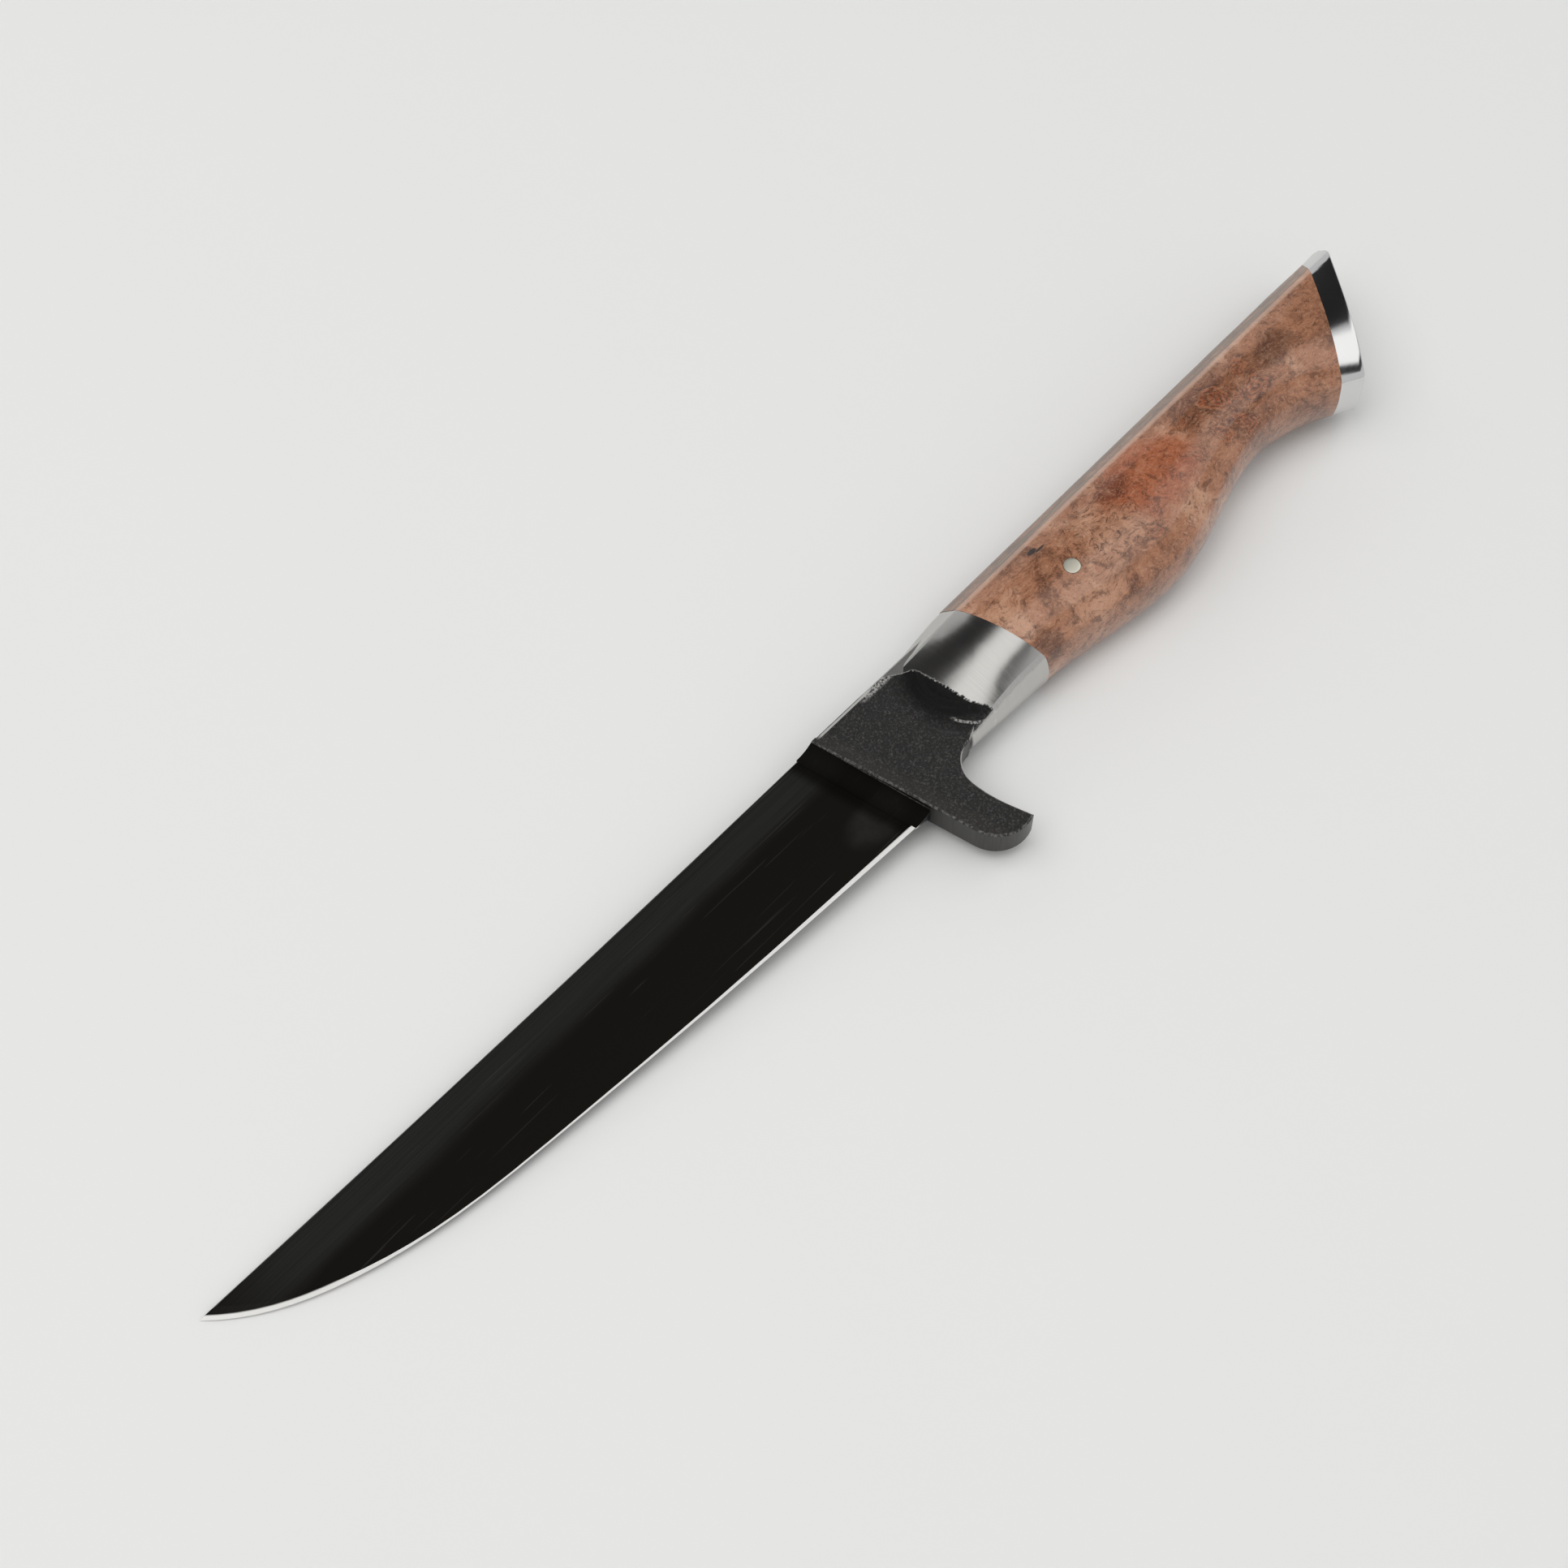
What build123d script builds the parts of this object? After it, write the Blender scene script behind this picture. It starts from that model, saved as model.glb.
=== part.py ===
from build123d import *
import math
import os

# Boning knife with an integral bolster, lying on its side.
# The tip points to -X, the butt to +X, the spine to +Y and the cutting edge to -Y.
# Lengths and heights are laid out from the tip (x = 0) and the centre line of the grip (y = 0),
# then placed so that the origin is the middle of the knife's footprint, on the surface it lies on.

# ---- Driving dimensions, millimetres and degrees ----

# Blade
blade_length = 146.0          # tip to plunge line, on the centre line
blade_spine = 11.6            # spine above the centre line, at the plunge line
blade_height = 24.2           # spine to edge, at the plunge line
tip_rise = 0.8                # the tip stands this much above the spine at the plunge line
spine_sag = 0.5               # how far the spine dips between tip and plunge line
heel_spine_thickness = 2.7    # at the spine, by the plunge line
heel_edge_thickness = 0.5     # behind the cutting bevel, by the plunge line
tip_thickness = 1.4           # at the tip, before the cutting bevel
bevel_angle = 18.0            # cutting bevel, each side of the middle plane
bevel_share = 0.6             # tallest the bevel may be, as a share of the thickness at the tip
spine_round = 0.45            # rounded corners along the spine
edge_shape = [                # the edge from tip to heel, in shares of blade length and blade height
    (0.055, 0.265),
    (0.14, 0.50),
    (0.27, 0.69),
    (0.425, 0.79),
    (0.66, 0.895),
]
edge_slope_at_tip = 1.05
edge_slope_at_heel = 0.04

# Ricasso and finger guard, left at forging thickness
forging_slant = 11.3          # lean of the plunge line and of the bolster seam
ricasso_thickness = 6.4
plunge_radius = 5.0           # concave shoulder between ricasso and blade
plunge_sink = 0.05            # the shoulder is cut this far into the grind, so that it leaves no step
plunge_overrun = 0.2          # the shoulder cuts run past the spine and the edge by this share of their length
forging_edge_round = 0.5
guard_depth = 27.2            # lowest point of the guard, below the centre line
guard_width = 8.2             # front to back, along the knife
guard_nose_radius = 7.0
notch_radius = 6.0            # finger notch, where the guard meets the bolster
notch_top = 8.8               # belly of the forging at the notch, below the centre line
tail_sweep = 1.5              # the guard's tail leans forward this many times as much as the plunge line
forging_overlap = 1.0         # the solids of the forging run into each other by this much

# Bolster, grip and pommel
forged_length = 36.5          # plunge line to bolster seam, on the centre line
grip_length = 94.5            # bolster seam to pommel seam, on the centre line
pommel_slant = 39.0           # lean of the pommel seam and of the butt
pommel_thickness = 4.8        # square to the pommel seam
butt_corner_round = 1.2       # where the butt meets the spine
bolster_blend = 24.0          # the bolster swells out of the ricasso over this length
bolster_start = 0.94          # it starts inside the ricasso, at this share of its thickness
bolster_overlap = 0.6         # the ricasso and the tang reach this share of the way through the blend
bolster_spine = 13.2          # spine of the grip above the centre line, at the bolster seam
bolster_belly = 9.3           # belly below the centre line, at the bolster seam
bolster_half = 7.7            # half the thickness, at the bolster seam
palm_from_seam = 34.5         # palm swell behind the bolster seam
palm_belly = 13.2
palm_half = 8.2
waist_from_seam = 68.5        # waist behind the bolster seam
waist_belly = 6.3
waist_half = 7.7
pommel_spine = 14.3
pommel_belly = 13.4           # belly at the lower corner of the butt
pommel_half = 7.6
spine_flat = 0.28             # the five below are shares of half the thickness
spine_facet_drop = 0.43       # facet between the flat of the spine and the side
shoulder_height = 0.76        # where the facet meets the side
belly_tuck = 0.16             # the belly stands proud of its corners by this much
hip_height = 0.72             # where the side meets the belly
grip_corner_round = 2.2       # along the corners of the grip, at the palm swell

# Tang, bedding and fasteners
tang_width_front = 14.0
tang_width_end = 8.0
tang_thickness = 4.4
tang_length = 72.0
bedding_gap = 0.8             # glue all round the tang
pin_diameter = 3.175
pin_from_seam = 18.4          # pin behind the bolster seam, on the centre line
dowel_diameter = 2.4
dowel_in_grip = 9.0
dowel_in_pommel = 3.0
dowel_heights = (7.5, -4.0)   # two dowels along the grip, above and below the centre line

# ---- Derived positions, from the tip and the centre line ----

forging_lean = math.tan(math.radians(forging_slant))
pommel_lean = math.tan(math.radians(pommel_slant))
pommel_along = pommel_thickness / math.cos(math.radians(pommel_slant))

plunge_x = blade_length
seam_x = plunge_x + forged_length
pin_x = seam_x + pin_from_seam
pommel_x = seam_x + grip_length
butt_x = pommel_x + pommel_along
butt_corner = math.radians(90 - pommel_slant) / 2
butt_corner_reach = butt_corner_round / math.tan(butt_corner)
overall_length = butt_x + pommel_lean * pommel_spine - butt_corner_reach + butt_corner_round
palm_x = seam_x + palm_from_seam
waist_x = seam_x + waist_from_seam
lower_butt_x = butt_x - pommel_lean * pommel_belly
middle_height = max(bolster_half, palm_half, waist_half, pommel_half)
blade_edge = blade_spine - blade_height
ricasso_half = ricasso_thickness / 2
bolster_x = seam_x - bolster_blend

origin_x = -overall_length / 2
origin_y = (guard_depth - pommel_spine) / 2
knife = Plane(origin=(origin_x, origin_y, middle_height))


def at(x, y, z=0.0):
    """A point given from the tip and the centre line, in the part's own frame."""
    return Vector(origin_x + x, origin_y + y, middle_height + z)


def plunge_at(y):
    return plunge_x - forging_lean * y


def pommel_seam_at(y):
    return pommel_x + pommel_lean * y


def ease(share):
    """Rises from 0 to 1, level at both ends."""
    share = min(max(share, 0), 1)
    return share * share * (3 - 2 * share)


def between(first, last, share):
    return first + (last - first) * share


# ---- Planes ----

seam_plane = Plane(origin=at(seam_x, 0), z_dir=(1, forging_lean, 0))
pommel_plane = Plane(origin=at(pommel_x, 0), z_dir=(1, -pommel_lean, 0))
butt_plane = Plane(origin=at(butt_x, 0), z_dir=(1, -pommel_lean, 0))

tip_y = blade_spine + tip_rise
heel_x = plunge_at(blade_edge)
blade_root_x = heel_x + ricasso_thickness
heel_spine_point = at(plunge_at(blade_spine), blade_spine, heel_spine_thickness / 2)
heel_edge_point = at(heel_x, blade_edge, heel_edge_thickness / 2)
tip_point = at(0, tip_y, tip_thickness / 2)
grind_normal = (heel_edge_point - heel_spine_point).cross(tip_point - heel_spine_point)
if grind_normal.Z < 0:
    grind_normal = grind_normal * -1
upper_grind = Plane(origin=heel_spine_point, z_dir=grind_normal)
lower_grind = Plane(
    origin=at(plunge_at(blade_spine), blade_spine, -heel_spine_thickness / 2),
    z_dir=(grind_normal.X, grind_normal.Y, -grind_normal.Z),
)


# ---- Blade ----

edge_points = [(0, tip_y)]
for share_x, share_y in edge_shape:
    edge_points.append((share_x * blade_length, tip_y - share_y * (blade_height + tip_rise)))
edge_points.append((heel_x, blade_edge))
edge_tangents = [(1, -edge_slope_at_tip), (1, -edge_slope_at_heel)]
above_spine = tip_y + blade_height
before_tip = -blade_height / edge_slope_at_tip
behind_heel = blade_root_x + ricasso_thickness
bevel_height = bevel_share * tip_thickness
bevel_reach = bevel_height / math.tan(math.radians(bevel_angle))


def edge_set_in(distance):
    """The edge's points moved square to the edge, towards the spine."""
    moved = []
    for index, (x, y) in enumerate(edge_points):
        if index == 0:
            along = Vector(*edge_tangents[0])
        elif index == len(edge_points) - 1:
            along = Vector(*edge_tangents[1])
        else:
            along = Vector(*edge_points[index + 1]) - Vector(*edge_points[index - 1])
        along = along.normalized()
        moved.append((x - distance * along.Y, y + distance * along.X))
    return moved


with BuildPart() as blade:
    # Two cutting bevels that meet along the edge
    for height, inset in ((0, 0), (bevel_height, bevel_reach)):
        with BuildSketch(knife.offset(height)):
            with BuildLine():
                edge_line = Spline(*edge_set_in(inset), tangents=edge_tangents, tangent_scalars=(1, 1))
                Polyline(
                    edge_line @ 1,
                    (behind_heel, blade_edge + inset),
                    (behind_heel, above_spine),
                    (before_tip, above_spine),
                    edge_line @ 0,
                )
            make_face()
    loft(ruled=True)
    extrude(blade.faces().sort_by(Axis.Z)[-1], amount=heel_spine_thickness)
    mirror(about=knife)
    # Flat grinds from the spine down to the bevels
    split(bisect_by=upper_grind, keep=Keep.BOTTOM)
    split(bisect_by=lower_grind, keep=Keep.BOTTOM)
    # Spine and root
    with BuildSketch(knife):
        with BuildLine():
            ThreePointArc(
                (behind_heel, blade_spine),
                (behind_heel / 2, blade_spine + tip_rise / 2 - spine_sag),
                (0, tip_y),
            )
            Polyline((0, tip_y), (before_tip, above_spine), (behind_heel, above_spine), (behind_heel, blade_spine))
        make_face()
    extrude(amount=heel_spine_thickness, both=True, mode=Mode.SUBTRACT)
    with BuildSketch(knife):
        with BuildLine():
            Polyline(
                (blade_root_x, blade_edge - forging_overlap),
                (behind_heel + forging_overlap, blade_edge - forging_overlap),
                (behind_heel + forging_overlap, above_spine),
                (blade_root_x, above_spine),
                (blade_root_x, blade_edge - forging_overlap),
            )
        make_face()
    extrude(amount=heel_spine_thickness, both=True, mode=Mode.SUBTRACT)
    spine_edges = blade.edges().filter_by(lambda edge: edge.length > blade_length / 2)
    fillet(spine_edges.group_by(Axis.Y)[-1], spine_round)


# ---- Grip form: bolster, handle block and pommel are cut from one flowing shape ----


def grip_spine(x):
    if x < seam_x:
        return between(blade_spine, bolster_spine, ease((x - bolster_x) / bolster_blend))
    return between(bolster_spine, pommel_spine, min((x - seam_x) / grip_length, 1))


def grip_belly(x):
    if x < seam_x:
        return between(notch_top, bolster_belly, max((x - bolster_x) / bolster_blend, 0) ** 2)
    if x < palm_x:
        return between(bolster_belly, palm_belly, ease((x - seam_x) / palm_from_seam))
    if x < waist_x:
        return between(palm_belly, waist_belly, ease((x - palm_x) / (waist_x - palm_x)))
    return between(waist_belly, pommel_belly, ((x - waist_x) / (lower_butt_x - waist_x)) ** 2)


def grip_half(x):
    if x < seam_x:
        return between(bolster_start * ricasso_half, bolster_half, ease((x - bolster_x) / bolster_blend))
    if x < palm_x:
        return between(bolster_half, palm_half, ease((x - seam_x) / palm_from_seam))
    if x < waist_x:
        return between(palm_half, waist_half, ease((x - palm_x) / (waist_x - palm_x)))
    return between(waist_half, pommel_half, ease((x - waist_x) / (butt_x - waist_x)))


def grip_section(x):
    """The grip cut square across: spine flat, two facets, crowned sides and a crowned belly."""
    spine = grip_spine(x)
    belly = -grip_belly(min(x, lower_butt_x + pommel_along))
    half = grip_half(x)
    flat = spine_flat * half
    facet_y = spine - spine_facet_drop * half
    facet_z = shoulder_height * half
    hip_y = belly + belly_tuck * half
    hip_z = hip_height * half
    crown_y = (facet_y + hip_y) / 2
    with BuildSketch(Plane(origin=at(x, 0), x_dir=(0, 1, 0), z_dir=(1, 0, 0))) as section:
        with BuildLine():
            Polyline((facet_y, -facet_z), (spine, -flat), (spine, flat), (facet_y, facet_z))
            ThreePointArc((facet_y, facet_z), (crown_y, half), (hip_y, hip_z))
            ThreePointArc((hip_y, hip_z), (belly, 0), (hip_y, -hip_z))
            ThreePointArc((hip_y, -hip_z), (crown_y, -half), (facet_y, -facet_z))
        make_face()
        fillet(section.vertices(), grip_corner_round * half / palm_half)
    return section.sketch.face()


grip_stations = [between(bolster_x, seam_x, share) for share in (0, 0.25, 0.5, 0.75, 1)]
grip_stations += [between(seam_x, palm_x, share) for share in (0.5, 1)]
grip_stations += [between(palm_x, waist_x, share) for share in (0.5, 1)]
grip_stations += [between(waist_x, lower_butt_x, share) for share in (0.4, 0.7, 1)]
grip_stations += [lower_butt_x + pommel_along, overall_length + butt_corner_reach]

with BuildPart() as grip_form:
    loft(sections=[grip_section(x) for x in grip_stations])

# ---- Forging: blade, ricasso, finger guard, bolster and tang in one piece ----

nose_y = guard_nose_radius - guard_depth
nose_x = plunge_at(nose_y) + guard_nose_radius / math.cos(math.radians(forging_slant))
nose_start = (
    nose_x - guard_nose_radius * math.cos(math.radians(forging_slant)),
    nose_y - guard_nose_radius * math.sin(math.radians(forging_slant)),
)
nose_bottom = (
    nose_x - guard_nose_radius * math.sin(math.radians(45)),
    nose_y - guard_nose_radius * math.cos(math.radians(45)),
)
tail_x = plunge_at(-guard_depth) + guard_width
tail_tip = (tail_x, nose_y - math.sqrt(guard_nose_radius**2 - (tail_x - nose_x) ** 2))
notch_low = -notch_top - notch_radius
notch_x = plunge_at(notch_low) + guard_width
notch_middle = (
    notch_x + notch_radius * (1 - math.cos(math.radians(45))),
    -notch_top - notch_radius * (1 - math.sin(math.radians(45))),
)
inside_bolster = between(bolster_x, seam_x, bolster_overlap)
shoulder_rise = ricasso_half - heel_spine_thickness / 2
shoulder_reach = math.sqrt(plunge_radius**2 - (plunge_radius - shoulder_rise) ** 2)
shoulder_lift = plunge_radius - plunge_sink
shoulder_start = at(plunge_at(blade_spine) - shoulder_reach, blade_spine, heel_spine_thickness / 2 + shoulder_lift)
shoulder_end = at(plunge_at(blade_edge) - shoulder_reach, blade_edge, heel_edge_thickness / 2 + shoulder_lift)
shoulder_way = shoulder_end - shoulder_start
tang_front_y = (bolster_spine - bolster_belly) / 2
tang_end_y = (pommel_spine - waist_belly) / 2
tang_end_x = seam_x + tang_length
through = 2 * middle_height


def tang_outline(gap):
    """Tapered outline of the tang, or of the slot that holds it with a gap all round."""
    front = tang_width_front / 2 + gap
    end = tang_width_end / 2 + gap
    return [
        (inside_bolster, tang_front_y - front),
        (tang_end_x + gap, tang_end_y - end),
        (tang_end_x + gap, tang_end_y + end),
        (inside_bolster, tang_front_y + front),
        (inside_bolster, tang_front_y - front),
    ]


with BuildPart() as ricasso:
    with BuildSketch(knife):
        with BuildLine():
            Line((plunge_at(blade_spine), blade_spine), nose_start)
            ThreePointArc(nose_start, nose_bottom, tail_tip)
            Spline(tail_tip, (notch_x, notch_low), tangents=[(-forging_lean * tail_sweep, 1), (0, 1)])
            ThreePointArc((notch_x, notch_low), notch_middle, (notch_x + notch_radius, -notch_top))
            Polyline(
                (notch_x + notch_radius, -notch_top),
                (inside_bolster, -notch_top / 2),
                (inside_bolster, blade_spine),
                (plunge_at(blade_spine), blade_spine),
            )
        make_face()
    extrude(amount=ricasso_half, both=True)
    rims = ricasso.faces().filter_by(Axis.Z).edges()
    fillet(rims, forging_edge_round)

with BuildPart() as shoulder_cut:
    # Two round-bottomed cuts along the plunge line, one on each side of the blade
    with BuildSketch(Plane(origin=shoulder_start - shoulder_way * plunge_overrun, z_dir=shoulder_way)):
        Circle(plunge_radius)
    extrude(amount=(1 + 2 * plunge_overrun) * shoulder_way.length)
    mirror(about=knife)

with BuildPart() as bolster:
    add(grip_form.part)
    split(bisect_by=seam_plane, keep=Keep.BOTTOM)

with BuildPart() as blade_forging:
    add(blade.part)
    with BuildSketch(knife):
        with BuildLine():
            Polyline(
                (plunge_at(blade_spine) - shoulder_reach, blade_spine),
                (plunge_at(blade_spine) + forging_overlap, blade_spine),
                (plunge_at(blade_edge) + forging_overlap, blade_edge),
                (plunge_at(blade_edge) - shoulder_reach, blade_edge),
                (plunge_at(blade_spine) - shoulder_reach, blade_spine),
            )
        make_face()
    extrude(amount=ricasso_half, both=True)
    add(shoulder_cut.part, mode=Mode.SUBTRACT)
    add(ricasso.part)
    add(bolster.part)
    with BuildSketch(knife):
        with BuildLine():
            Polyline(*tang_outline(0))
        make_face()
    extrude(amount=tang_thickness / 2, both=True)
    with BuildSketch(knife):
        with Locations((pin_x, 0)):
            Circle(pin_diameter / 2)
    extrude(amount=through, both=True, mode=Mode.SUBTRACT)

# ---- Handle block, with its slot for the tang and its pin and dowel holes ----

with BuildPart() as handle_block:
    add(grip_form.part)
    split(bisect_by=seam_plane, keep=Keep.TOP)
    split(bisect_by=pommel_plane, keep=Keep.BOTTOM)
    with BuildSketch(knife):
        with BuildLine():
            Polyline(*tang_outline(bedding_gap))
        make_face()
    extrude(amount=tang_thickness / 2 + bedding_gap, both=True, mode=Mode.SUBTRACT)
    with BuildSketch(knife):
        with Locations((pin_x, 0)):
            Circle(pin_diameter / 2)
    extrude(amount=through, both=True, mode=Mode.SUBTRACT)
    for height in dowel_heights:
        with BuildSketch(Plane(origin=at(pommel_seam_at(height) - dowel_in_grip, height), z_dir=(1, 0, 0))):
            Circle(dowel_diameter / 2)
        extrude(amount=dowel_in_grip + dowel_in_pommel, mode=Mode.SUBTRACT)

# ---- Bedding that fills the slot round the tang ----

with BuildPart() as tang_bedding:
    with BuildSketch(knife):
        with BuildLine():
            Polyline(*tang_outline(bedding_gap))
        make_face()
    extrude(amount=tang_thickness / 2 + bedding_gap, both=True)
    split(bisect_by=seam_plane, keep=Keep.TOP)
    with BuildSketch(knife):
        with BuildLine():
            Polyline(*tang_outline(0))
        make_face()
    extrude(amount=tang_thickness / 2, both=True, mode=Mode.SUBTRACT)
    with BuildSketch(knife):
        with Locations((pin_x, 0)):
            Circle(pin_diameter / 2)
    extrude(amount=through, both=True, mode=Mode.SUBTRACT)

# ---- Handle pin, finished flush with the sides of the grip ----

with BuildPart() as handle_pin:
    with BuildSketch(knife):
        with Locations((pin_x, 0)):
            Circle(pin_diameter / 2)
    extrude(amount=through, both=True)
    add(grip_form.part, mode=Mode.INTERSECT)

# ---- Pommel cap ----

sharp_corner = Vector(butt_x + pommel_lean * pommel_spine, pommel_spine)
off_butt = Vector(1, -pommel_lean).normalized()
round_centre = sharp_corner + Vector(-butt_corner_reach, -butt_corner_round)
round_start = round_centre + Vector(0, butt_corner_round)
round_middle = round_centre + Vector(butt_corner_round, 0)
round_end = round_centre + off_butt * butt_corner_round
waste_start = round_start + Vector(0, butt_corner_round)
waste_high = waste_start + Vector(2 * butt_corner_reach, 0)
waste_low = round_end + off_butt * butt_corner_round

with BuildPart() as pommel_cap:
    add(grip_form.part)
    split(bisect_by=pommel_plane, keep=Keep.TOP)
    split(bisect_by=butt_plane, keep=Keep.BOTTOM)
    with BuildSketch(knife):
        # The waste outside the rounded corner between spine and butt
        with BuildLine():
            ThreePointArc(round_start, round_middle, round_end)
            Polyline(round_end, waste_low, waste_high, waste_start, round_start)
        make_face()
    extrude(amount=through, both=True, mode=Mode.SUBTRACT)
    for height in dowel_heights:
        with BuildSketch(Plane(origin=at(pommel_seam_at(height) - dowel_in_grip, height), z_dir=(1, 0, 0))):
            Circle(dowel_diameter / 2)
        extrude(amount=dowel_in_grip + dowel_in_pommel, mode=Mode.SUBTRACT)

# ---- Hidden dowels between the handle block and the pommel cap ----

with BuildPart() as pommel_dowels:
    for height in dowel_heights:
        with BuildSketch(Plane(origin=at(pommel_seam_at(height) - dowel_in_grip, height), z_dir=(1, 0, 0))):
            Circle(dowel_diameter / 2)
        extrude(amount=dowel_in_grip + dowel_in_pommel)

# ---- Export, one file for each piece ----

pieces = {
    "blade_forging": blade_forging,
    "handle_block": handle_block,
    "tang_bedding": tang_bedding,
    "handle_pin": handle_pin,
    "pommel_cap": pommel_cap,
    "pommel_dowels": pommel_dowels,
}
os.makedirs("parts", exist_ok=True)
for name, piece in pieces.items():
    piece.part.label = name
    export_step(piece.part, f"parts/{name}.step")
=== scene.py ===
"""Looks of a forged boning knife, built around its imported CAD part."""

import math

import bmesh
import bpy
import numpy as np
from bpy.props import FloatProperty, FloatVectorProperty, IntProperty, PointerProperty
from mathutils import Matrix, Vector


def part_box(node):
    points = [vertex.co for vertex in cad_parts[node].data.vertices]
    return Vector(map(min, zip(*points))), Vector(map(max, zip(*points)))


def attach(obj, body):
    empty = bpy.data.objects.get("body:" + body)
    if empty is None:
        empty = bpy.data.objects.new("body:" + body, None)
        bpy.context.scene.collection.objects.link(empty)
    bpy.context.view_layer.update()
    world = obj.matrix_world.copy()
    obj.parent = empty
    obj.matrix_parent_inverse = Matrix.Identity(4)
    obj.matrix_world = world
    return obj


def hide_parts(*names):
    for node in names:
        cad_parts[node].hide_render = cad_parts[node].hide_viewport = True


bl_info = {
    "name": "Boning knife",
    "version": (1, 0, 0),
    "blender": (4, 5, 0),
    "location": "View3D > Sidebar > Knife",
    "description": "Builds the grip, pommel and pin of a boning knife and finishes its steel and wood",
    "category": "Object",
}

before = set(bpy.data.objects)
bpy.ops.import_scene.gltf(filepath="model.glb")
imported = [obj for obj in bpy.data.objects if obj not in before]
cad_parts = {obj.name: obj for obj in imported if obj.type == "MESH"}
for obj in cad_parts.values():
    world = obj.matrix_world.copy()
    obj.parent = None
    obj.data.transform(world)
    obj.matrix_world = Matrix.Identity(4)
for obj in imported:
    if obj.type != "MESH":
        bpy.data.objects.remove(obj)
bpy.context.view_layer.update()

MM = 0.001  # metres
PIN_LOW, PIN_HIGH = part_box("handle_pin")
TIP_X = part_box("blade_forging")[0].x
CENTRE_Y = (PIN_LOW.y + PIN_HIGH.y) / 2
MIDDLE_Z = (PIN_LOW.z + PIN_HIGH.z) / 2
PIN_X = (PIN_LOW.x + PIN_HIGH.x) / 2 - TIP_X

# The plunge line: millimetres from the tip at the centre line, and how much further back it
# lies for each millimetre towards the cutting edge
PLUNGE_X = 146.0
PLUNGE_LEAN = 0.2

# How finely the grip's section is traced
SIDE_POINTS = 24
FINE_STEPS = 4
RING_ROUNDS = 6
RING_SECTIONS = 7

SHARP_ANGLE = math.radians(35)


# ---- Sizes and colours ----


def length(name, description, default):
    """A size, in metres."""
    return FloatProperty(name=name, description=description, default=default, unit="LENGTH", precision=4)


def share(name, description, default):
    """A number from 0 to 1."""
    return FloatProperty(name=name, description=description, default=default, min=0, max=1)


def angle(name, description, degrees):
    """An angle, given here in degrees."""
    return FloatProperty(name=name, description=description, default=math.radians(degrees), unit="ROTATION")


def colour(name, description, default):
    """A linear colour."""
    return FloatVectorProperty(
        name=name, description=description, default=default, subtype="COLOR", min=0, max=1
    )


class GripSizes(bpy.types.PropertyGroup):
    """The grip's shape. Heights are from the centre line, through the handle pin."""

    pin_from_seam: length("Pin to bolster seam", "Handle pin behind the bolster seam", 0.0184)
    grip_length: length("Grip length", "Bolster seam to pommel seam, on the centre line", 0.0945)
    pommel_thickness: length("Pommel thickness", "Square to the pommel seam", 0.0048)
    seam_slant: angle("Bolster seam slant", "Lean of the bolster seam", 11.3)
    pommel_slant: angle("Pommel slant", "Lean of the pommel seam and butt", 39)
    bolster_spine: length("Spine at bolster", "Spine above the centre line", 0.0132)
    bolster_belly: length("Belly at bolster", "Belly below the centre line", 0.0093)
    bolster_half: length("Half thickness at bolster", "Middle plane to side", 0.0077)
    palm_from_seam: length("Palm swell", "Palm swell behind the bolster seam", 0.0345)
    palm_belly: length("Belly at palm", "Belly below the centre line", 0.0132)
    palm_half: length("Half thickness at palm", "Middle plane to side", 0.0082)
    waist_from_seam: length("Waist", "Waist behind the bolster seam", 0.0685)
    waist_belly: length("Belly at waist", "Belly below the centre line", 0.0063)
    waist_half: length("Half thickness at waist", "Middle plane to side", 0.0077)
    pommel_spine: length("Spine at pommel", "Spine above the centre line", 0.0143)
    pommel_belly: length("Belly at pommel", "Belly below the centre line", 0.0134)
    pommel_half: length("Half thickness at pommel", "Middle plane to side", 0.0076)
    spine_flat: share("Spine flat", "Share of half the thickness", 0.28)
    facet_drop: share("Facet drop", "Facet beside the spine, share of half the thickness", 0.43)
    shoulder_height: share(
        "Shoulder height", "Where the facet meets the side, share of half the thickness", 0.76
    )
    belly_tuck: share("Belly crown", "The belly stands proud of its corners by this share", 0.16)
    hip_height: share("Hip height", "Where the side meets the belly, share of half the thickness", 0.72)
    corner_round: length("Corner rounding", "Half the width of the rounded corners", 0.0006)
    rim_round: length("Rim rounding", "Rounded rim of the pommel", 0.00035)
    butt_corner_round: length("Butt corner rounding", "Where the butt meets the spine", 0.0012)
    ring_points: IntProperty(name="Ring points", description="Points round the grip", default=112, min=24)
    rings: IntProperty(name="Rings", description="Rings along the grip", default=96, min=12)


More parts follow.
